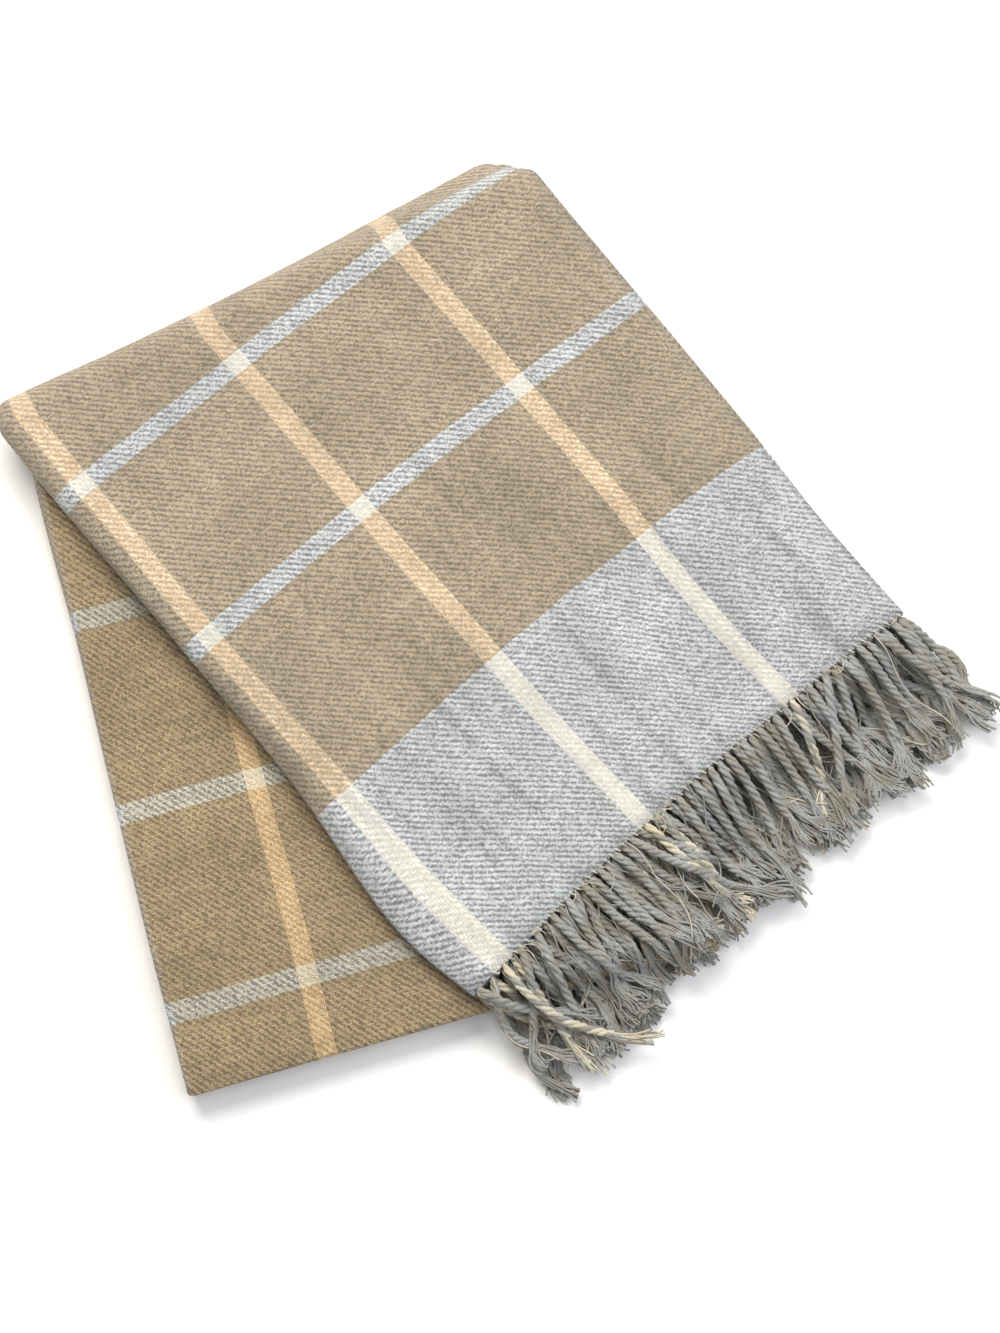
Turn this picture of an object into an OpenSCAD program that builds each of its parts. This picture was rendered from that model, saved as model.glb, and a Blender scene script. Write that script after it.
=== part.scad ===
// Folded throw blanket with a twisted fringe on both ends.
// The cloth is folded end to end, then twice across its width, then once more at a slanted crease.

/* [Folded size] */
// Width of the folded strip, from the nested side fold to the selvedges
panel_w = 325; // [200:1:500]
// Length of the upper half along its left side, from the fringe to the crease axis
crease_left = 407; // [250:1:600]
// Slant of the crease against the weft, in degrees
crease_skew = 13.2; // [0:0.5:25]
// Length of the whole folded strip before the crease was made
strip_len = 785; // [500:1:1100]

/* [Cloth] */
// Thickness of the woven cloth itself
ply_t = 2.1; // [1:0.1:4]
// Air between one layer and the next in the stack
layer_gap = 0.4; // [0.2:0.1:2]

/* [Fringe] */
// Length of one tassel
fringe_len = 86; // [30:1:160]
// Diameter of one twisted tassel
tassel_d = 4.9; // [2:0.1:6]
// Distance from one tassel to the next in a row
tassel_pitch = 12.5; // [6.2:0.1:16]
// Share of a tassel's length that is frayed open
fray_share = 0.35; // [0.1:0.05:0.6]
// Diameter of the loose tip
tip_d = 2.4; // [1:0.1:4]
// Width of the lock stitch that holds the last weft thread
stitch_w = 1.2; // [0.8:0.1:3]
// Gap between pieces that lie against each other
lie_gap = 0.1; // [0.05:0.05:0.5]

/* [Stripes] */
// Distance between two warp stripes
stripe_step = 112; // [60:1:200]
// Distance from the nested side fold to the first stripe on the outer face
stripe_first = 28; // [5:1:100]
// Width of a stripe
stripe_w = 11.5; // [5:0.5:30]

/* [Preview] */
// Which sub-part to draw

/* [Hidden] */
$fn = 48;
layers = 8;
ply_pitch = ply_t + layer_gap;
half_h = layers * ply_pitch;
side_r = layers / 2 * ply_pitch;
inner_r = layers / 4 * ply_pitch;
crease_right = crease_left - panel_w * tan(crease_skew);
crease_len = panel_w / cos(crease_skew);
far = 2 * strip_len;

// Plan points that bound the object, in the strip's own frame
function turned(p) = let (d = p[1] - crease_left, px = p[0],
    c = cos(-crease_skew), s = sin(-crease_skew), along = px * c + d * s)
    [2 * along * c - px, 2 * along * s - d + crease_left];
bulge = [half_h * sin(crease_skew), half_h * cos(crease_skew)];
plan = [
    [0, crease_left], [panel_w, crease_right],
    [0, crease_left] + bulge, [panel_w, crease_right] + bulge,
    turned([0, strip_len]), turned([panel_w, strip_len]),
    [0, -stitch_w - lie_gap - fringe_len], [panel_w, -stitch_w - lie_gap - fringe_len]
];
xs = [for (p = plan) p[0]];
ys = [for (p = plan) p[1]];
mid = [(min(xs) + max(xs)) / 2, (min(ys) + max(ys)) / 2];

// Rows in the stack, from the middle of the object outwards: quarter of the width, and end of the cloth
row_quarter = [2, 2, 3, 3, 4, 4, 1, 1];
row_near = [true, false, false, true, true, false, false, true];
// Distance from the nested side fold to the first stripe in each quarter
row_stripe = [for (q = row_quarter)
    q == 1 ? stripe_first :
    q == 2 ? stripe_step - stripe_first :
    q == 3 ? (3 * stripe_step - 2 * panel_w + stripe_first + stripe_step * 3) % stripe_step :
    (2 * panel_w - stripe_first - 3 * stripe_step + stripe_step * 3) % stripe_step];
tassels = floor(panel_w / tassel_pitch);
// Rows of tassels lie in one another's gaps, so thick ones lie further apart in height
touch = tassel_d + lie_gap;
row_step = max(ply_pitch, touch / 2, sqrt(max(0, touch * touch - pow(tassel_pitch / 2, 2))));

cloth_tan = [0.72, 0.66, 0.56];
cloth_deep = [0.66, 0.58, 0.47];
yarn_grey = [0.50, 0.50, 0.48];
yarn_cream = [0.86, 0.83, 0.74];

// Moves the strip's own frame so that the object stands on its middle
module on_frame() { translate([-mid[0], -mid[1], -layer_gap / 2]) children(); }

// Turns a piece of the strip over the crease, from the upper half into the lower one
module under_crease() {
    translate([0, crease_left, half_h]) rotate([0, 0, -crease_skew])
        mirror([0, 1, 0]) mirror([0, 0, 1]) rotate([0, 0, crease_skew])
            translate([0, -crease_left, -half_h]) children();
}

// Height of the underside of layer k of the upper half
function ply_z(k) = half_h + k * ply_pitch + layer_gap / 2;

// Right-hand limit of layer k: the inner quarters are joined by the first fold
function right_of(k) = k < layers / 2 ? panel_w - inner_r : panel_w;
function crease_y(x) = crease_left - x * tan(crease_skew);

module upper_ply(k) {
    translate([0, 0, ply_z(k)]) linear_extrude(ply_t)
        polygon([[side_r, 0], [right_of(k), 0],
            [right_of(k), crease_y(right_of(k))], [side_r, crease_y(side_r)]]);
}

module lower_ply(k) {
    stop = strip_len - ply_pitch;
    under_crease() translate([0, 0, ply_z(k)]) linear_extrude(ply_t)
        polygon([[side_r, crease_y(side_r)], [right_of(k), crease_y(right_of(k))],
            [right_of(k), stop], [side_r, stop]]);
}

// Half of a thick-walled tube along +Y, open towards +X, from y0 to y1
module half_tube(r_out, r_in, y0, y1) {
    translate([0, y1, 0]) rotate([90, 0, 0]) linear_extrude(y1 - y0) difference() {
        circle(r = r_out);
        circle(r = r_in);
        translate([0, -2 * r_out]) square([2 * r_out, 4 * r_out]);
    }
}

// Everything on the fringe side of the crease, or on the far side of it
module crease_side(upper) {
    translate([0, crease_left, 0]) rotate([0, 0, -crease_skew])
        translate([-far, upper ? -2 * far : 0, -far]) cube([2 * far, 2 * far, 2 * far]);
}

// Nested rolls of the second fold, which joins all four quarters along the left side
module second_fold(y0, y1, upper) {
    intersection() {
        for (j = [0 : layers / 2 - 1]) translate([side_r, 0, half_h + side_r])
            half_tube((j + 1) * ply_pitch - layer_gap / 2, j * ply_pitch + layer_gap / 2, y0, y1);
        crease_side(upper);
    }
}

// Nested rolls of the first fold, which joins quarters 2 and 3 along the right side
module first_fold(y0, y1, upper) {
    intersection() {
        for (j = [0 : layers / 4 - 1]) translate([panel_w - inner_r, 0, half_h + inner_r])
            mirror([1, 0, 0])
                half_tube((j + 1) * ply_pitch - layer_gap / 2, j * ply_pitch + layer_gap / 2, y0, y1);
        crease_side(upper);
    }
}

module quarter_upper(q, shade) {
    color(shade) on_frame() for (k = [0 : layers - 1]) if (row_quarter[k] == q) upper_ply(k);
}
module quarter_lower(q, shade) {
    color(shade) on_frame() for (k = [0 : layers - 1]) if (row_quarter[k] == q) lower_ply(k);
}

module quarter_1_upper() { quarter_upper(1, cloth_tan); }
module quarter_4_upper() { quarter_upper(4, cloth_deep); }
module quarter_3_upper() { quarter_upper(3, cloth_tan); }
module quarter_2_upper() { quarter_upper(2, cloth_deep); }
module quarter_1_lower() { quarter_lower(1, cloth_tan); }
module quarter_4_lower() { quarter_lower(4, cloth_deep); }
module quarter_3_lower() { quarter_lower(3, cloth_tan); }
module quarter_2_lower() { quarter_lower(2, cloth_deep); }

module second_fold_upper() { color(cloth_tan) on_frame() second_fold(0, far, true); }
module second_fold_lower() {
    color(cloth_tan) on_frame() under_crease() second_fold(0, strip_len - ply_pitch, false);
}
module first_fold_upper() { color(cloth_deep) on_frame() first_fold(0, far, true); }
module first_fold_lower() {
    color(cloth_deep) on_frame() under_crease() first_fold(0, strip_len - ply_pitch, false);
}

// The fold that lays one end of the cloth on the other: one roll for each quarter
module end_to_end_fold() {
    color(cloth_tan) on_frame() under_crease() for (pair = [0 : layers / 2 - 1]) {
        right = right_of(2 * pair);
        translate([side_r, strip_len - ply_pitch, half_h + (2 * pair + 1) * ply_pitch])
            rotate([0, 0, -90]) half_tube(ply_pitch - layer_gap / 2, layer_gap / 2, 0, right - side_r);
    }
}

// Nested rolls of the crease, one for each layer
module crease_fold() {
    color(cloth_tan) on_frame() translate([0, crease_left, half_h])
        rotate([0, 0, -crease_skew]) for (k = [0 : layers - 1])
            rotate([0, 0, -90]) half_tube((k + 1) * ply_pitch - layer_gap / 2,
                k * ply_pitch + layer_gap / 2, side_r, crease_len);
}

// Lock stitch along the last weft thread of each layer
module lock_stitch(near) {
    color(yarn_cream) on_frame() for (k = [0 : layers - 1]) if (row_near[k] == near)
        translate([side_r, -stitch_w, ply_z(k)]) cube([right_of(k) - side_r, stitch_w - lie_gap, ply_t]);
}
module near_lock_stitch() { lock_stitch(true); }
module far_lock_stitch() { lock_stitch(false); }

// One tassel: a twisted length and a loose, narrowing tip
module tassel() {
    twisted = fringe_len * (1 - fray_share);
    rotate([90, 0, 0]) rotate_extrude() polygon([[0, 0], [tassel_d / 2, 0],
        [tassel_d / 2, twisted], [tip_d / 2, fringe_len], [0, fringe_len]]);
}

function tassel_x(i, k) = (i + 0.5 + (k % 2 == 0 ? 0.25 : -0.25)) * tassel_pitch;
function near_stripe(x, k) = let (a = (x - row_stripe[k] + 10 * stripe_step + stripe_step / 2) % stripe_step)
    abs(a - stripe_step / 2) < stripe_w / 2;

// One row of tassels, either the plain ones or those at a warp stripe
module fringe_row(q, near, cream) {
    color(cream ? yarn_cream : yarn_grey) on_frame() for (k = [0 : layers - 1])
        if (row_quarter[k] == q && row_near[k] == near) for (i = [0 : tassels - 1]) {
            x = tassel_x(i, k);
            if (near_stripe(x, k) == cream)
                translate([x, -stitch_w - lie_gap, half_h + lie_gap + tassel_d / 2 + k * row_step])
                    tassel();
        }
}

module quarter_1_near_grey_fringe() { fringe_row(1, true, false); }
module quarter_1_far_grey_fringe() { fringe_row(1, false, false); }
module quarter_4_near_grey_fringe() { fringe_row(4, true, false); }
module quarter_4_far_grey_fringe() { fringe_row(4, false, false); }
module quarter_3_near_grey_fringe() { fringe_row(3, true, false); }
module quarter_3_far_grey_fringe() { fringe_row(3, false, false); }
module quarter_2_near_grey_fringe() { fringe_row(2, true, false); }
module quarter_2_far_grey_fringe() { fringe_row(2, false, false); }
module quarter_1_near_cream_fringe() { fringe_row(1, true, true); }
module quarter_1_far_cream_fringe() { fringe_row(1, false, true); }
module quarter_4_near_cream_fringe() { fringe_row(4, true, true); }
module quarter_4_far_cream_fringe() { fringe_row(4, false, true); }
module quarter_3_near_cream_fringe() { fringe_row(3, true, true); }
module quarter_3_far_cream_fringe() { fringe_row(3, false, true); }
module quarter_2_near_cream_fringe() { fringe_row(2, true, true); }
module quarter_2_far_cream_fringe() { fringe_row(2, false, true); }

quarter_1_upper();
quarter_4_upper();
quarter_3_upper();
quarter_2_upper();
quarter_1_lower();
quarter_4_lower();
quarter_3_lower();
quarter_2_lower();
second_fold_upper();
second_fold_lower();
first_fold_upper();
first_fold_lower();
end_to_end_fold();
crease_fold();
near_lock_stitch();
far_lock_stitch();
quarter_1_near_grey_fringe();
quarter_1_far_grey_fringe();
quarter_4_near_grey_fringe();
quarter_4_far_grey_fringe();
quarter_3_near_grey_fringe();
quarter_3_far_grey_fringe();
quarter_2_near_grey_fringe();
quarter_2_far_grey_fringe();
quarter_1_near_cream_fringe();
quarter_1_far_cream_fringe();
quarter_4_near_cream_fringe();
quarter_4_far_cream_fringe();
quarter_3_near_cream_fringe();
quarter_3_far_cream_fringe();
quarter_2_near_cream_fringe();
quarter_2_far_cream_fringe();
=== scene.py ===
import math
import random

import bmesh
import bpy
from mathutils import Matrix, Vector, noise


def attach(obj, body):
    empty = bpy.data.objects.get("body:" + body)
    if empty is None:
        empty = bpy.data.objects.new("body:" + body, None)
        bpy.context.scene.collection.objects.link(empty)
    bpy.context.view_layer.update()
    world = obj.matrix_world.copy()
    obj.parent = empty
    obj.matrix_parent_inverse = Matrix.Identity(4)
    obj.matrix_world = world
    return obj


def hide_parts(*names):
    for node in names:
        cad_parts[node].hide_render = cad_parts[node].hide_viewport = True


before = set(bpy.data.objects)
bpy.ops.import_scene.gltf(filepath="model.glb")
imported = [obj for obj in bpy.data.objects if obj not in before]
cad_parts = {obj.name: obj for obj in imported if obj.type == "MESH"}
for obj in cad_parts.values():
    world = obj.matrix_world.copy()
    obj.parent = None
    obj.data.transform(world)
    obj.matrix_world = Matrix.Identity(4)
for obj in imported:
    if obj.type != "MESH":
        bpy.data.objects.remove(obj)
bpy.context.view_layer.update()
scene = bpy.context.scene
mm = 0.001

# the folded strip, in millimetres, in its own frame: +X towards the selvedges, -Y towards the fringe
strip = dict(
    width=325.0, creaseLeft=407.0, skew=math.radians(13.2), length=785.0,
    pitch=2.5, layers=8, mid=(80.747, 169.586), drop=0.2,
    clothThick=2.0, stripeStep=112.0, stripeWidth=11.5, bandLength=128.0, firstWarpStripe=84.0,
    # cloth taken up by the quarters of the width and the rolls between them, and by the roll at half length
    outerPanel=315.0, innerPanel=310.0, wideRoll=27.5, tightRoll=10.0, endRoll=4.0,
)
halfH = strip["pitch"] * strip["layers"]
sideR = halfH / 2
innerR = halfH / 4
sinS, cosS, tanS = (f(strip["skew"]) for f in (math.sin, math.cos, math.tan))
creaseArc = math.pi * (halfH - strip["pitch"] / 2)  # cloth used by the outermost layer of the crease
creaseLength = strip["width"] / cosS
straight = strip["length"] - strip["pitch"] + creaseArc / cosS

# where each quarter starts on the flat cloth
quarterStart = {1: 0.0, 2: strip["outerPanel"] + strip["wideRoll"]}
quarterStart[3] = quarterStart[2] + strip["innerPanel"] + strip["tightRoll"]
quarterStart[4] = quarterStart[3] + strip["innerPanel"] + strip["tightRoll"]

soft = dict(
    planAmp=1.8, planWave=120.0, planRise=60.0, seed=4.2, lowest=1.1,
    layerAmp=1.6, layerLong=300.0, layerShort=130.0, layerStep=0.45, heightAmp=0.07, heightWave=110.0,
    ripple=3.2, rippleWave=46.0, rippleLean=0.6, rippleStretch=2.6,
    crumple=9.0, crumpleWave=26.0, crumpleAlong=170.0,
    crumpleMiddle=30.0, crumpleReach=95.0, crumpleSink=0.35,
    cornerRight=22.0, cornerLeft=13.0, reachOut=2.6, reachLevel=17.6, reachSide=290.0, reachFrom=60.0,
    # the folded side of the upper half opens outward, most at openAt from the fringe
    opening=14.0, openWidth=16.0, openAt=50.0, openSpread=70.0, halfFrom=12.0, halfBlend=16.0,
    # how the weave lies askew, as polynomials over the two halves
    askewMiddle=(160.0, 180.0), askewSpan=(200.0, 250.0),
    upperX=[-3.49, 3.25, 3.87, -3.25, 1.0, 5.03, -3.65, -0.87, 4.31, 2.02],
    upperY=[2.62, 4.02, 1.06, -4.65, -2.96, -7.1, 3.38, -6.77, 3.73, -1.52],
    lowerX=[-2.65, 6.5, -5.51],
    lowerY=[3.57, 2.32, 8.18],
)


def smooth(t):
    t = min(max(t, 0.0), 1.0)
    return t * t * (3 - 2 * t)


def wave(x, y, z, part):
    # soft noise between about -1 and 1, one field for each part number
    return noise.noise(Vector((x + 31.7 * part, y - 17.3 * part, z + soft["seed"] * part)))


def polynomial(values, degree, x, y):
    middle, span = soft["askewMiddle"], soft["askewSpan"]
    x, y, total, n = (x - middle[0]) / span[0], (y - middle[1]) / span[1], 0.0, 0
    for i in range(degree + 1):
        for j in range(degree + 1 - i):
            total += values[n] * x ** i * y ** j
            n += 1
    return total


def askew(x, y, z):
    # how far the cloth lies from a neat fold at this place, across and along the strip
    upper = smooth((z - soft["halfFrom"]) / soft["halfBlend"])
    dx = polynomial(soft["upperX"], 3, x, y) * upper + polynomial(soft["lowerX"], 1, x, y) * (1 - upper)
    dy = polynomial(soft["upperY"], 3, x, y) * upper + polynomial(soft["lowerY"], 1, x, y) * (1 - upper)
    opened = min(max(0.0, 1 - x / soft["openWidth"]), 1.0)
    opened *= math.exp(-((y - soft["openAt"]) / soft["openSpread"]) ** 2)
    return dx - soft["opening"] * opened * smooth((z - halfH) / 3), dy


def softened(x, y, z, level):
    # lets a point of the neat stack sag and wander as cloth does, and puts it in the object's frame in metres
    w, rise, step = soft["planWave"], soft["planRise"], soft["layerStep"]
    long, short = soft["layerLong"], soft["layerShort"]
    dx = soft["planAmp"] * wave(x / w, y / w, z / rise, 1)
    dx += soft["layerAmp"] * wave(x / long, y / short, level * step, 2)
    dy = soft["planAmp"] * wave(x / w, y / w, z / rise, 3)
    dy += soft["layerAmp"] * wave(x / short, y / long, level * step, 4)
    h = soft["heightWave"]
    dz = z * soft["heightAmp"] * wave(x / h, y / h, 0, 5)
    r, lean = soft["rippleWave"], soft["rippleLean"]
    ripple = wave((x + lean * y) / r, (y - lean * x) / (soft["rippleStretch"] * r), 0, 7)
    dz += soft["ripple"] * (z / (2 * halfH)) ** 2 * ripple
    crumple = math.exp(-((y - soft["crumpleMiddle"]) / soft["crumpleReach"]) ** 2)
    crumple *= smooth((z - halfH) / halfH)
    hollow = wave(x / soft["crumpleWave"], y / soft["crumpleAlong"], 0, 8) - soft["crumpleSink"]
    dz += soft["crumple"] * crumple * hollow
    ax, ay = askew(x, y, z)
    dx, dy = dx + ax, dy + ay
    if z > halfH:  # the layers below the top one reach out a little further
        side = smooth((x - soft["reachSide"]) / 30) * smooth((y - soft["reachFrom"]) / 80)
        dx += soft["reachOut"] * smooth((soft["reachLevel"] - level) / 2) * side
    return Vector((
        (x + dx - strip["mid"][0]) * mm,
        (y + dy - strip["mid"][1]) * mm,
        max(z + dz - strip["drop"], soft["lowest"]) * mm,
    ))


def folded(x, y, level):
    # carries a point of the unfolded strip over the crease. level is its height within the eight layers
    away = x * sinS + (y - strip["creaseLeft"]) * cosS
    along = x * cosS - (y - strip["creaseLeft"]) * sinS
    along += tanS * min(max(away, 0.0), creaseArc)
    if away <= 0:
        out, z = away, halfH + level
    elif away < creaseArc:
        turn = math.pi * away / creaseArc
        out, z = level * math.sin(turn), halfH + level * math.cos(turn)
    else:
        out, z = creaseArc - away, halfH - level
    slant = tanS * min(out, 0.0) * (1 if away < creaseArc / 2 else -1)
    for edge, radius, inward in ((creaseLength - along - slant, soft["cornerRight"], -1),
                                 (along + slant, soft["cornerLeft"], 1)):
        side, front = max(0.0, radius - edge), max(0.0, out - halfH + radius)
        reach = math.hypot(side, front)
        if front and reach > radius:
            kept = radius / reach
            along += side * (1 - kept) * inward
            out -= front - front * kept
    px = along * cosS + out * sinS
    py = strip["creaseLeft"] - along * sinS + out * cosS
    return softened(px, py, z, level)


def linear(hexText):  # an sRGB hex colour as a linear one
    channels = [int(hexText[i:i + 2], 16) / 255 for i in (1, 3, 5)]
    return tuple(c / 12.92 if c <= 0.04045 else ((c + 0.055) / 1.055) ** 2.4 for c in channels) + (1.0,)


def addNode(tree, kind, sockets=(), output=0, **settings):
    # adds one node, fills its sockets and gives one of its outputs
    node = tree.nodes.new(kind)
    for key, value in settings.items():
        setattr(node, key, value)
    for key, value in dict(sockets).items():
        if hasattr(value, "is_linked"):
            tree.links.new(value, node.inputs[key])
        else:
            node.inputs[key].default_value = value
    return node.outputs[output]


def maths(tree, operation, *values):
    return addNode(tree, "ShaderNodeMath", enumerate(values), operation=operation)


def mixed(tree, factor, first, second, mode="MIX"):
    sockets = {0: factor, 6: first, 7: second}
    return addNode(tree, "ShaderNodeMix", sockets, 2, data_type="RGBA", blend_type=mode)


def grain(tree, vector, size, detail=2.0, rough=0.5):  # noise whose grains are about this many mm across
    values = {"Vector": vector, "Scale": 1 / (size * mm), "Detail": detail, "Roughness": rough}
    return addNode(tree, "ShaderNodeTexNoise", values)


def between(tree, low, high, value):  # carries 0 to 1 over to low to high
    return maths(tree, "ADD", low, maths(tree, "MULTIPLY", value, high - low))


def newMaterial(name):
    material = bpy.data.materials.new(name)
    material.use_nodes = True
    surface = material.node_tree.nodes["Principled BSDF"]
    surface.inputs["Roughness"].default_value = 0.92
    surface.inputs["Specular IOR Level"].default_value = 0.15
    surface.inputs["Sheen Weight"].default_value = 0.25
    surface.inputs["Sheen Roughness"].default_value = 0.6
    return material, material.node_tree, surface


weave = dict(
    yarn=1.06, wobble=1.1, wobbleGrain=3.8, unevenGrain=1.6, uneven=4.4, slub=2.3,
    lineFrom=-1.1, lineTo=1.45, shadeAndMottleGrain=55.0, patchGrain=4.8, fuzzGrain=1.05,
    tanWeft="#b9aa8f", whiteWeft="#d3d7d8", greyWarp="#7f7466", bandWarp="#878989",
    peachWarp="#e8d3b5", underPeach="#bba484", creamWarp="#ebe8de", underCream="#d3d0c6",
    bumpStrength=0.85, bumpDepth=0.8, roundHeight=0.7, fuzzHeight=0.8,
    # least and greatest tone that each of these gives
    # the second of these two is painted shade where the yarns dip between their neighbours
    yarnTone=(0.9, 1.1), dipShadeTone=(0.8, 1.08),
    # the first of these is broad uneven colour together with painted light and shade
    shadeAndMottleTone=(0.62, 1.38), patchTone=(0.84, 1.16), fuzzTone=(0.5, 1.5),
    # painted shade tint over the second quarter of the width
    shadedMiddle=498.0, shadedHalf=156.0, shadeTint="#f4ead4",
    wrinkleGrain=21.0, wrinkleAlong=0.22, wrinkleDepth=18.0, wrinkleReach=0.26,
)


def clothMaterial():
    # brushed acrylic twill: grey and peach warp under a tan and white weft, its face raised to a soft nap
    # the eye sees broken diagonal lines of single yarns, a windowpane check and a pale band at the ends
    w = weave
    material, tree, surface = newMaterial("brushed_check_twill")
    uv = addNode(tree, "ShaderNodeUVMap", uv_map="weave")
    wobble = addNode(tree, "ShaderNodeTexNoise",
                     {"Vector": uv, "Scale": 1 / (w["wobbleGrain"] * mm), "Detail": 2.0}, 1)
    wobble = addNode(tree, "ShaderNodeVectorMath", {0: wobble, 1: (0.5, 0.5, 0.5)}, operation="SUBTRACT")
    wobble = addNode(tree, "ShaderNodeVectorMath", {0: wobble, "Scale": w["wobble"] * mm}, operation="SCALE")
    moved = addNode(tree, "ShaderNodeVectorMath", {0: uv, 1: wobble}, operation="ADD")
    u, v = (addNode(tree, "ShaderNodeSeparateXYZ", {0: moved}, i) for i in (0, 1))
    middle = (straight + strip["endRoll"] / 2) * mm
    fromEnd = maths(tree, "SUBTRACT", middle, maths(tree, "ABSOLUTE", maths(tree, "SUBTRACT", v, middle)))

    def stripes(coordinate, first):
        step, half = strip["stripeStep"] * mm, strip["stripeWidth"] * mm / 2
        fromFirst = maths(tree, "ADD", maths(tree, "SUBTRACT", coordinate, first * mm), step * 20)
        return maths(tree, "LESS_THAN", maths(tree, "PINGPONG", fromFirst, step / 2), half)

    # a twill line is half a repeat wide; the weft shows a little more than the warp
    uYarn, vYarn = (maths(tree, "DIVIDE", c, w["yarn"] * mm) for c in (u, v))
    uCell, vCell = (maths(tree, "FLOOR", c) for c in (uYarn, vYarn))
    cell = addNode(tree, "ShaderNodeCombineXYZ", {0: uCell, 1: vCell})
    slub = addNode(tree, "ShaderNodeTexWhiteNoise", {"Vector": cell}, noise_dimensions="2D")
    line = maths(tree, "MULTIPLY", maths(tree, "SUBTRACT", vYarn, uYarn), math.pi / 2)
    uneven = maths(tree, "MULTIPLY", grain(tree, uv, w["unevenGrain"], 4.0, 0.75), w["uneven"])
    line = maths(tree, "SINE", maths(tree, "ADD", line, uneven))
    line = maths(tree, "ADD", line, between(tree, -w["slub"] / 2, w["slub"] / 2, slub))
    warpOver = addNode(tree, "ShaderNodeMapRange",
                       {"Value": line, "From Min": w["lineFrom"], "From Max": w["lineTo"]},
                       interpolation_type="SMOOTHSTEP")
    weftOver = maths(tree, "SUBTRACT", 1.0, warpOver)

    # the colours of the two yarns at this place
    warpStripe = stripes(u, strip["firstWarpStripe"])
    pastBand = maths(tree, "GREATER_THAN", fromEnd, (strip["bandLength"] + strip["stripeStep"] / 2) * mm)
    weftStripe = maths(tree, "MULTIPLY", stripes(fromEnd, strip["bandLength"]), pastBand)
    band = maths(tree, "LESS_THAN", fromEnd, strip["bandLength"] * mm)
    white = maths(tree, "MAXIMUM", weftStripe, band)
    warpPlain = mixed(tree, white, linear(w["greyWarp"]), linear(w["bandWarp"]))
    warpLight = mixed(tree, white, linear(w["peachWarp"]), linear(w["creamWarp"]))
    weftPlain = mixed(tree, white, linear(w["tanWeft"]), linear(w["whiteWeft"]))
    weftLight = mixed(tree, white, linear(w["underPeach"]), linear(w["underCream"]))
    colour = mixed(tree, warpOver, mixed(tree, warpStripe, weftPlain, weftLight),
                   mixed(tree, warpStripe, warpPlain, warpLight))

    # painted shade: the second quarter of the width is tinted a little darker and warmer than the rest
    fromShadedMiddle = maths(tree, "ABSOLUTE", maths(tree, "SUBTRACT", u, w["shadedMiddle"] * mm))
    inner = maths(tree, "LESS_THAN", fromShadedMiddle, w["shadedHalf"] * mm)
    colour = mixed(tree, inner, colour, mixed(tree, 1.0, colour, linear(w["shadeTint"]), "MULTIPLY"))

    # each yarn is round: painted shade darkens it where it dips between its neighbours, and each yarn has its
    # own tone
    def rounded(yarns):
        return maths(tree, "SINE", maths(tree, "MULTIPLY", maths(tree, "FRACT", yarns), math.pi))

    warpTone = addNode(tree, "ShaderNodeTexWhiteNoise", {"W": uCell}, noise_dimensions="1D")
    weftTone = addNode(tree, "ShaderNodeTexWhiteNoise", {"W": maths(tree, "ADD", vCell, 4711.5)},
                       noise_dimensions="1D")
    shade = maths(tree, "ADD", maths(tree, "MULTIPLY", warpOver, between(tree, *w["yarnTone"], warpTone)),
                  maths(tree, "MULTIPLY", weftOver, between(tree, *w["yarnTone"], weftTone)))
    roundness = maths(tree, "ADD", maths(tree, "MULTIPLY", warpOver, rounded(uYarn)),
                      maths(tree, "MULTIPLY", weftOver, rounded(vYarn)))
    fuzz = grain(tree, uv, w["fuzzGrain"], 3.0, 0.7)
    patch = grain(tree, uv, w["patchGrain"], 3.0, 0.65)
    # broad patches of uneven colour that also stand as painted light and shade
    shadeAndMottle = grain(tree, uv, w["shadeAndMottleGrain"], 4.0, 0.6)
    tone = shade
    for limits, part in (("dipShadeTone", roundness), ("shadeAndMottleTone", shadeAndMottle),
                         ("patchTone", patch), ("fuzzTone", fuzz)):
        tone = maths(tree, "MULTIPLY", tone, between(tree, *w[limits], part))
    grey = addNode(tree, "ShaderNodeCombineColor", {0: tone, 1: tone, 2: tone})
    tree.links.new(mixed(tree, 1.0, colour, grey, "MULTIPLY"), surface.inputs["Base Color"])

    height = maths(tree, "ADD", maths(tree, "MULTIPLY", roundness, w["roundHeight"]),
                   maths(tree, "MULTIPLY", fuzz, w["fuzzHeight"]))

    # soft creases from handling run along the warp and are deepest near the fringe
    along = addNode(tree, "ShaderNodeMapping", {"Vector": uv, "Scale": (1.0, w["wrinkleAlong"], 1.0)})
    fade = addNode(tree, "ShaderNodeMapRange",
                   {"Value": fromEnd, "From Min": 0.0, "From Max": w["wrinkleReach"],
                    "To Min": 1.0, "To Max": 0.3})
    creases = maths(tree, "MULTIPLY", grain(tree, along, w["wrinkleGrain"], 1.0), fade)
    creased = addNode(tree, "ShaderNodeBump", {"Strength": 1.0, "Distance": w["wrinkleDepth"] * mm,
                                               "Height": creases})
    bump = addNode(tree, "ShaderNodeBump", {"Strength": w["bumpStrength"], "Distance": w["bumpDepth"] * mm,
                                            "Height": height, "Normal": creased})
    tree.links.new(bump, surface.inputs["Normal"])
    return material


yarns = dict(
    fibreGrain=0.67, alongGrain=0.22, patchGrain=8.3, tintGrain=13.3, bumpStrength=0.6, bumpDepth=0.4,
    fibreShare=0.85, patchShare=0.25, tintFrom=0.36, tintTo=0.64,
    # the last colour of each is painted shade between the fibres and plies
    grey=("#c6c8c5", "#b3ae9e", "#282723"), cream=("#f3ecda", "#e6dabf", "#857a62"),
    thread=("#f4f1e8", "#ebe4d2", "#b9b29f"),
)


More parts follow.
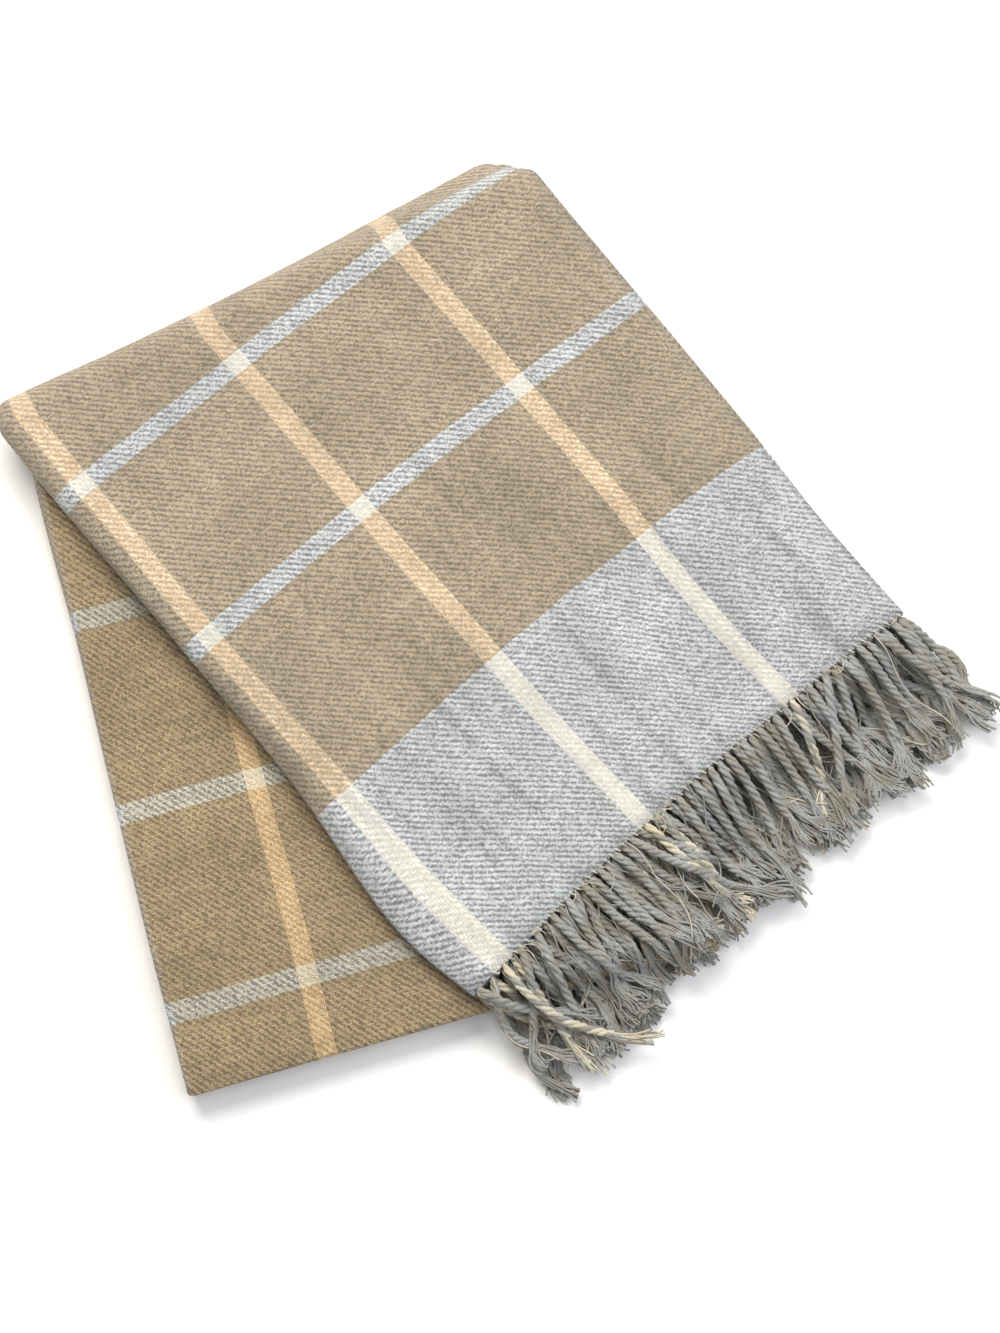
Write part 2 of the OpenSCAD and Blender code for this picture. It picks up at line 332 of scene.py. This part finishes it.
def yarnMaterial(name, colours):
    # soft spun yarn: fine fibres along the twist; the eye sees lighter fuzz on top, and painted shade darkens
    # the yarn in streaks between its fibres and plies
    y = yarns
    cool, warm, fibreShade = (linear(c) for c in colours)
    material, tree, surface = newMaterial(name)
    place = addNode(tree, "ShaderNodeTexCoord", output=3)
    lengthwise = addNode(tree, "ShaderNodeMapping", {"Vector": place, "Scale": (1.0, y["alongGrain"], 1.0)})
    fibres = grain(tree, lengthwise, y["fibreGrain"], 3.0, 0.7)
    patches = grain(tree, place, y["patchGrain"])
    unshaded = maths(tree, "ADD", maths(tree, "MULTIPLY", fibres, y["fibreShare"]),
                   maths(tree, "MULTIPLY", patches, y["patchShare"]))
    tint = addNode(tree, "ShaderNodeMapRange",
                   {"Value": grain(tree, place, y["tintGrain"], 1.0),
                    "From Min": y["tintFrom"], "From Max": y["tintTo"]})
    colour = mixed(tree, unshaded, fibreShade, mixed(tree, tint, cool, warm))
    tree.links.new(colour, surface.inputs["Base Color"])
    bump = addNode(tree, "ShaderNodeBump", {"Strength": y["bumpStrength"], "Distance": y["bumpDepth"] * mm,
                                            "Height": fibres})
    tree.links.new(bump, surface.inputs["Normal"])
    return material


def floorMaterial(colourHex):
    # painted board: one pale colour with a very faint unevenness
    material, tree, surface = newMaterial("pale_floor")
    place = addNode(tree, "ShaderNodeTexCoord", output=3)
    colour = mixed(tree, grain(tree, place, 330.0), linear(colourHex), linear("#ffffff"))
    tree.links.new(colour, surface.inputs["Base Color"])
    surface.inputs["Roughness"].default_value = 0.8
    surface.inputs["Sheen Weight"].default_value = 0.0
    return material


clothLook = clothMaterial()
greyLook = yarnMaterial("grey_twisted_yarn", yarns["grey"])
creamLook = yarnMaterial("cream_twisted_yarn", yarns["cream"])
threadLook = yarnMaterial("lock_stitch_thread", yarns["thread"])
print("materials made")


# the cloth: one sheet, carried through all of its folds
def crossSections():
    # rows of (distance across the flat cloth, near-end x and level, far-end x and level)
    w, p, rows = strip["width"], strip["pitch"], []

    def lay(start, size, x0, x1, near, far, count):
        for i in range(count):
            t = i / count
            rows.append((start + size * t, x0 + (x1 - x0) * t, near, x0 + (x1 - x0) * t, far))

    def roll(start, size, cx, cz, side, top, rNear, rFar, count):
        for i in range(count):
            t = i / count
            s, c = side * math.sin(math.pi * t), top * math.cos(math.pi * t)
            rows.append((start + size * t, cx + rNear * s, cz + rNear * c, cx + rFar * s, cz + rFar * c))

    level = [p * (i + 0.5) for i in range(strip["layers"])]
    outer, inner, wide, tight = (strip[key] for key in ("outerPanel", "innerPanel", "wideRoll", "tightRoll"))
    lay(0, outer, w, sideR, level[7], level[6], 36)
    roll(outer, wide, sideR, sideR, -1, 1, 3.5 * p, 2.5 * p, 12)
    lay(quarterStart[2], inner, sideR, w - innerR, level[0], level[1], 34)
    roll(quarterStart[2] + inner, tight, w - innerR, innerR, 1, -1, 1.5 * p, 0.5 * p, 7)
    lay(quarterStart[3], inner, w - innerR, sideR, level[3], level[2], 34)
    roll(quarterStart[3] + inner, tight, sideR, sideR, -1, -1, 0.5 * p, 1.5 * p, 7)
    lay(quarterStart[4], outer, sideR, w, level[4], level[5], 36)
    rows.append((quarterStart[4] + outer, w, level[4], w, level[5]))
    return rows


def lengthStops():
    # distances along half of the flat cloth, closer together where the crease will be
    margin = 6
    creaseFrom = strip["creaseLeft"] - strip["width"] * tanS - margin
    creaseTo = strip["creaseLeft"] + creaseArc / cosS + margin
    stops = [creaseFrom * i / 33 for i in range(33)]
    stops += [creaseFrom + (creaseTo - creaseFrom) * i / 36 for i in range(36)]
    stops += [creaseTo + (straight - creaseTo) * i / 38 for i in range(39)]
    return stops


def clothSheet():
    # the whole throw as one grid, folded end to end, twice across and once at the crease
    across, half, rollCount, rollSize = crossSections(), lengthStops(), 6, strip["endRoll"]
    stops = [(y, 0.0, y) for y in half]
    stops += [(straight, i / rollCount, straight + rollSize * i / rollCount) for i in range(1, rollCount)]
    stops += [(y, 1.0, 2 * straight + rollSize - y) for y in reversed(half)]
    nu, nv = len(across) - 1, len(stops) - 1
    bm = bmesh.new()
    bmesh.ops.create_grid(bm, x_segments=nu, y_segments=nv, size=1)
    uvLayer = bm.loops.layers.uv.new("weave")
    flatPlace = {}
    for vert in bm.verts:
        i, j = round((vert.co.x + 1) / 2 * nu), round((vert.co.y + 1) / 2 * nv)
        uFlat, xNear, lNear, xFar, lFar = across[i]
        y, turn, vFlat = stops[j]
        c, s = math.cos(math.pi * turn), math.sin(math.pi * turn)
        x = (xNear + xFar) / 2 + (xNear - xFar) / 2 * c
        level = (lNear + lFar) / 2 + (lNear - lFar) / 2 * c
        y += math.hypot(xNear - xFar, lNear - lFar) / 2 * s
        vert.co = folded(x, y, level)
        flatPlace[vert] = (uFlat * mm, vFlat * mm)
    for face in bm.faces:
        for loop in face.loops:
            loop[uvLayer].uv = flatPlace[loop.vert]
        face.smooth = True
    mesh = bpy.data.meshes.new("woven_cloth")
    bm.to_mesh(mesh)
    bm.free()
    piece = bpy.data.objects.new("woven_cloth", mesh)
    scene.collection.objects.link(piece)
    thick = piece.modifiers.new("thickness", "SOLIDIFY")
    thick.thickness, thick.offset = strip["clothThick"] * mm, 0.0
    mesh.materials.append(clothLook)
    print("cloth", len(mesh.vertices), "vertices")
    return piece


cloth = clothSheet()

# the fringe: each tassel is three strands twisted together, which open into loose threads at the end
fringe = dict(
    pitch=12.5, length=84.0, strands=3, strandR=1.38, spread=1.42, twistPitch=15.0, twistShare=0.66,
    threads=17, threadR=0.74, threadSpread=1.9, threadLowest=0.9, clump=3.5, curl=2.0, points=30, seed=11,
    angle=9.0, group=15.0, groupWave=34.0, groupStep=0.8, strayAngle=30.0, strayShare=0.16,
    restGap=2.4, rowRise=1.75, arch=1.6, hill=0.5, hillWave=14.0, lowest=2.8, wander=0.035, steer=0.02,
    # a few tassels of the top row that lie bent: number: (start angle, bend, length share)
    bent={1: (-0.25, 1.5, 1.25), 9: (0.35, 0.35, 1.2), 14: (-0.3, 0.75, 1.1),
          22: (0.2, -0.5, 1.05), 24: (0.3, 0.5, 1.0)},
    curls=16, curlR=0.27, curlPoints=16, wisps=30, wispR=0.4, wispPoints=22, creamWisps=0.3,
)
rowQuarter = [2, 2, 3, 3, 4, 4, 1, 1]
rowNear = [True, False, False, True, True, False, False, True]


def underlay(x, y):
    # height of what the fringe lies on: the lower half of the blanket, or the surface below it
    d = y - strip["creaseLeft"]
    along = x * cosS - d * sinS
    sx = 2 * along * cosS - x
    sy = -2 * along * sinS - d + strip["creaseLeft"]
    inside = min(sx, strip["width"] - sx, strip["length"] - sy)
    return halfH * smooth(inside / 14 + 0.5)


def restingPlace(x, y, row, phase):
    return underlay(x, y) + fringe["restGap"] + row * fringe["rowRise"] + phase


def centreLine(rng, x, row, angle, bend, length, count):
    # points down one tassel, as it droops from the cloth's edge onto the pile
    f, points, heading = fringe, [], angle
    root = folded(x, 0.0, (row + 0.5) * strip["pitch"]) / mm
    start = root.z + 0.4
    px, py, phase = root.x + strip["mid"][0], root.y + strip["mid"][1] - 0.6, rng.uniform(-2.0, 3.6)
    for i in range(count + 1):
        t = i / count
        goal = restingPlace(px, py, row, phase)
        z = start + (goal - start) * smooth(t * (1.4 + 0.35 * (strip["layers"] - 1 - row)))
        hill = wave(px / f["hillWave"], py / f["hillWave"], row, 6)
        z += f["arch"] * math.sin(math.pi * min(1, t * 4)) + f["hill"] * hill
        points.append((px, py, max(z, f["lowest"])))
        heading += bend / count + rng.uniform(-f["wander"], f["wander"])
        # kept near its own edge of cloth
        heading += f["steer"] * (max(0.0, -px) - max(0.0, px - strip["width"] + 6))
        px += math.sin(heading) * length / count
        py -= math.cos(heading) * length / count
    return points


def inFrame(p):
    return ((p[0] - strip["mid"][0]) * mm, (p[1] - strip["mid"][1]) * mm, p[2] * mm)


def addSpline(curve, points, radii, look):
    spline = curve.splines.new("POLY")
    spline.points.add(len(points) - 1)
    for knot, place, radius in zip(spline.points, points, radii):
        knot.co = (*inFrame(place), 1)
        knot.radius = radius
    spline.material_index = look
    spline.use_smooth = True


def newCurve(name, sides, looks):
    curve = bpy.data.curves.new(name, "CURVE")
    curve.dimensions, curve.bevel_depth, curve.bevel_resolution = "3D", mm, sides
    curve.use_fill_caps = True
    for look in looks:
        curve.materials.append(look)
    return curve


def sideways(points, i):
    # two unit vectors across the line at point i: level, and roughly upward
    a, b = points[max(i - 1, 0)], points[min(i + 1, len(points) - 1)]
    run = Vector(b) - Vector(a)
    run.normalize()
    level = run.cross(Vector((0, 0, 1)))
    level.normalize()
    return level, level.cross(run)


def addTassel(rng, strands, threads, x, row, cream, angle, bend, length):
    f = fringe
    line = centreLine(rng, x, row, angle, bend, length, f["points"])
    twisted = int(f["points"] * f["twistShare"] * rng.uniform(0.88, 1.1))
    phase = rng.uniform(0, 2 * math.pi)
    tight = f["twistPitch"] * rng.uniform(0.88, 1.15)
    stepLength = length / f["points"]
    for side in range(f["strands"]):
        points, radii = [], []
        for i in range(twisted + 1):
            level, up = sideways(line, i)
            turn = phase + side * 2 * math.pi / f["strands"] + 2 * math.pi * i * stepLength / tight
            ease = min(1, 0.45 + i / 4)
            p = Vector(line[i]) + (level * math.cos(turn) + up * math.sin(turn)) * f["spread"] * ease
            points.append(p)
            radii.append(f["strandR"] * (0.8 + 0.2 * ease) * (1 if i < twisted - 1 else 0.75))
        addSpline(strands, points, radii, 1 if cream and side else 0)
    sweep, clump = rng.gauss(0, 0.2), rng.uniform(-f["clump"], f["clump"])
    onward = (Vector(line[-1]) - Vector(line[-3])).normalized()
    for n in range(f["threads"]):
        spread, turn = rng.uniform(0.15, 1.0), rng.uniform(0, 2 * math.pi)
        fan = sweep + rng.gauss(0, 0.075)
        curl, where = rng.uniform(-f["curl"], f["curl"]), rng.uniform(0, 1.2)
        first = max(twisted - 3, 0)
        count = f["points"] + rng.randint(-3, 0) - first
        points, radii = [], []
        for i in range(max(count, 4)):
            at = min(first + i, f["points"])
            over = first + i - at
            level, up = sideways(line, at)
            t = i / max(count - 1, 1)
            reach = t * t * (length * (1 - f["twistShare"]))
            kink = clump * math.sin(4.2 * t + phase) + curl * math.sin(where + 9 * t)
            off = level * (math.cos(turn) * f["threadSpread"] * spread + math.tan(fan) * reach + kink * t)
            off += up * (math.sin(turn) * f["threadSpread"] * spread * (1 - 0.4 * t))
            p = Vector(line[at]) + off + onward * over * stepLength
            p.z = max(p.z, f["threadLowest"])
            points.append(p)
            radii.append(f["threadR"] * (1 - 0.25 * t) * rng.uniform(0.85, 1.15))
        addSpline(threads, points, radii, 1 if cream and n % 2 == 0 else 0)


def addWisp(rng, threads, x, row):
    # a single yarn that has come loose and lies in waves between the tassels
    f = fringe
    line = centreLine(rng, x, row, rng.uniform(-0.4, 0.4), rng.uniform(-1.0, 1.0),
                      f["length"] * rng.uniform(0.45, 0.95), f["wispPoints"])
    size, where, turns = rng.uniform(0.8, 3.0), rng.uniform(0, 6.28), rng.uniform(5, 12)
    points = []
    for i, p in enumerate(line):
        level, up = sideways(line, i)
        t = i / (len(line) - 1)
        points.append(Vector(p) + level * size * math.sin(where + turns * t) * min(1, 3 * t) + up * 0.9)
    addSpline(threads, points, [f["wispR"]] * len(points), 1 if rng.random() < f["creamWisps"] else 0)


def addCurl(rng, threads, x):
    # a short stray thread that springs out of the edge in a loop
    root = folded(x, 0.0, halfH - strip["pitch"] / 2) / mm
    px, py, size = root.x + strip["mid"][0], root.y + strip["mid"][1], rng.uniform(2.0, 4.5)
    start, wind, drift = rng.uniform(0, 6.28), rng.uniform(2.5, 5.5), rng.uniform(-0.5, 0.5)
    points, count = [], fringe["curlPoints"]
    for i in range(count):
        t = i / (count - 1)
        points.append((px + size * (math.sin(start + wind * t) - math.sin(start)) + drift * 6 * t,
                       py - 7 * t + size * 0.8 * (math.cos(start + wind * t) - math.cos(start)),
                       root.z + 2.6 + 1.6 * math.sin(3.1 * t)))
    addSpline(threads, points, [fringe["curlR"]] * count, 1)


def meshOf(curves, name, looks):
    # one mesh piece made from the given bevelled curves
    bm = bmesh.new()
    for curve in curves:
        holder = bpy.data.objects.new("holder", curve)
        scene.collection.objects.link(holder)
        bpy.context.view_layer.update()
        made = bpy.data.meshes.new_from_object(holder.evaluated_get(bpy.context.evaluated_depsgraph_get()))
        bm.from_mesh(made)
        bpy.data.objects.remove(holder)
        bpy.data.meshes.remove(made)
    bmesh.ops.recalc_face_normals(bm, faces=bm.faces)
    for face in bm.faces:
        face.smooth = True
    mesh = bpy.data.meshes.new(name)
    bm.to_mesh(mesh)
    bm.free()
    for look in looks:
        mesh.materials.append(look)
    piece = bpy.data.objects.new(name, mesh)
    scene.collection.objects.link(piece)
    return piece


def isCream(x, row):
    # true where a cream warp stripe ends in this tassel
    w, quarter = strip["width"], rowQuarter[row]
    inward = {1: w - x, 2: x - sideR, 3: w - innerR - x, 4: x - sideR}[quarter]
    flat = quarterStart[quarter] + inward
    off = (flat - strip["firstWarpStripe"] + strip["stripeStep"] * 20.5) % strip["stripeStep"]
    return abs(off - strip["stripeStep"] / 2) < strip["stripeWidth"] / 2


def fringeRow(row):
    f, rng = fringe, random.Random(fringe["seed"] + row)
    name = f"fringe_q{rowQuarter[row]}_{'near' if rowNear[row] else 'far'}"
    looks = (greyLook, creamLook)
    strands, threads = (newCurve(f"{name}_{part}", sides, looks)
                        for part, sides in (("strands", 2), ("threads", 0)))
    for i in range(int(strip["width"] // f["pitch"])):
        x = (i + 0.5 + (0.25 if row % 2 == 0 else -0.25)) * f["pitch"]
        along, across = x / f["groupWave"], row * f["groupStep"]
        angle = math.radians(rng.gauss(0, f["angle"]) + 2 * f["group"] * wave(along, across, 0, 9))
        if rng.random() < f["strayShare"]:
            angle = math.radians(rng.choice((-1, 1)) * rng.uniform(0.4, 1) * f["strayAngle"])
        bend = rng.gauss(0, 0.35) + 0.9 * wave(along, across, 5, 10)
        length = f["length"] * rng.uniform(0.86, 1.0) * (1 + 0.12 * wave(x / 22, row, 3, 11))
        if row == strip["layers"] - 1 and i in f["bent"]:
            angle, bend, share = f["bent"][i]
            length = f["length"] * share
        addTassel(rng, strands, threads, x, row, isCream(x, row), angle, bend, length)
    for n in range(f["wisps"]):
        addWisp(rng, threads, rng.uniform(8, strip["width"] - 16), row)
    if row == strip["layers"] - 1:
        for n in range(f["curls"]):
            addCurl(rng, threads, rng.uniform(4, strip["width"] - 4))
    piece = meshOf((strands, threads), name, looks)
    print(name, len(piece.data.polygons), "faces")
    return piece


fringeRows = [fringeRow(row) for row in range(strip["layers"])]


# the lock stitch: a thread that whips over the edge of each layer
stitch = dict(loop=4.5, steps=8, inset=0.4, reach=1.9, lift=1.55, threadR=0.42)


def lockStitch(near):
    name = "near_lock_stitch_thread" if near else "far_lock_stitch_thread"
    k, curve = stitch, newCurve(name, 0, (threadLook,))
    for row in range(strip["layers"]):
        if rowNear[row] != near:
            continue
        right = strip["width"] - (innerR if rowQuarter[row] in (2, 3) else 0)
        count = int((right - sideR) / k["loop"])
        level, points = strip["pitch"] * (row + 0.5), []
        for i in range(count * k["steps"]):
            turn = 2 * math.pi * i / k["steps"]
            base = folded(sideR + k["loop"] * i / k["steps"], k["inset"], level)
            points.append((base.x / mm + strip["mid"][0],
                           base.y / mm + strip["mid"][1] + k["reach"] * math.cos(turn),
                           base.z / mm + k["lift"] * math.sin(turn)))
        addSpline(curve, points, [k["threadR"]] * len(points), 0)
    return meshOf((curve,), name, (threadLook,))


stitches = [lockStitch(True), lockStitch(False)]
print("stitches made")

# what rides on what, and what stands for which CAD node
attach(cloth, "root")
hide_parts(*[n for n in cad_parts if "fringe" not in n and "stitch" not in n])
for row, piece in enumerate(fringeRows):
    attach(piece, "root")
    end = "near" if rowNear[row] else "far"
    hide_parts(*[f"quarter_{rowQuarter[row]}_{end}_{tone}_fringe" for tone in ("grey", "cream")])
for piece, end in zip(stitches, ("near", "far")):
    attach(piece, "root")
    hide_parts(f"{end}_lock_stitch")


# floor, light and camera
def floorPlane():
    bm = bmesh.new()
    bmesh.ops.create_grid(bm, x_segments=2, y_segments=2, size=6)
    mesh = bpy.data.meshes.new("floor")
    bm.to_mesh(mesh)
    bm.free()
    mesh.materials.append(floorMaterial("#f4f3f1"))
    piece = bpy.data.objects.new("floor", mesh)
    scene.collection.objects.link(piece)


def direction(azimuth, elevation):
    # unit vector from the object towards a lamp or the camera
    a, e = math.radians(azimuth), math.radians(elevation)
    return Vector((math.sin(a) * math.cos(e), -math.cos(a) * math.cos(e), math.sin(e)))


def facing(back):
    return (-back).to_track_quat("-Z", "Y").to_euler()


studio = dict(worldStrength=0.45, worldColour="#fbfcff", lampDistance=2.4)


def areaLight(name, azimuth, elevation, size, power, colourHex):
    back = direction(azimuth, elevation)
    lamp = bpy.data.lights.new(name, "AREA")
    lamp.shape, lamp.size, lamp.energy, lamp.color = "DISK", size, power, linear(colourHex)[:3]
    holder = bpy.data.objects.new(name, lamp)
    holder.location = back * studio["lampDistance"]
    holder.rotation_euler = facing(back)
    scene.collection.objects.link(holder)


floorPlane()
world = bpy.data.worlds.new("studio")
world.use_nodes = True
world.node_tree.nodes["Background"].inputs[0].default_value = linear(studio["worldColour"])
world.node_tree.nodes["Background"].inputs[1].default_value = studio["worldStrength"]
scene.world = world
areaLight("key", azimuth=160, elevation=54, size=1.7, power=62, colourHex="#fff8ee")
areaLight("fill", azimuth=50, elevation=50, size=1.6, power=26, colourHex="#f4f8ff")

view = dict(azimuth=-40.95, elevation=78.0, distance=2.5, target=(0.04593, -0.04289, 0.02), lens=158.0)
back = direction(view["azimuth"], view["elevation"])
lens = bpy.data.cameras.new("camera")
lens.sensor_fit, lens.sensor_width, lens.lens = "HORIZONTAL", 36.0, view["lens"]
lens.clip_start, lens.clip_end = 0.05, 30
camera = bpy.data.objects.new("camera", lens)
camera.location = Vector(view["target"]) + back * view["distance"]
camera.rotation_euler = facing(back)
scene.collection.objects.link(camera)
scene.camera = camera
scene.view_settings.view_transform = "Standard"
print("stage made")
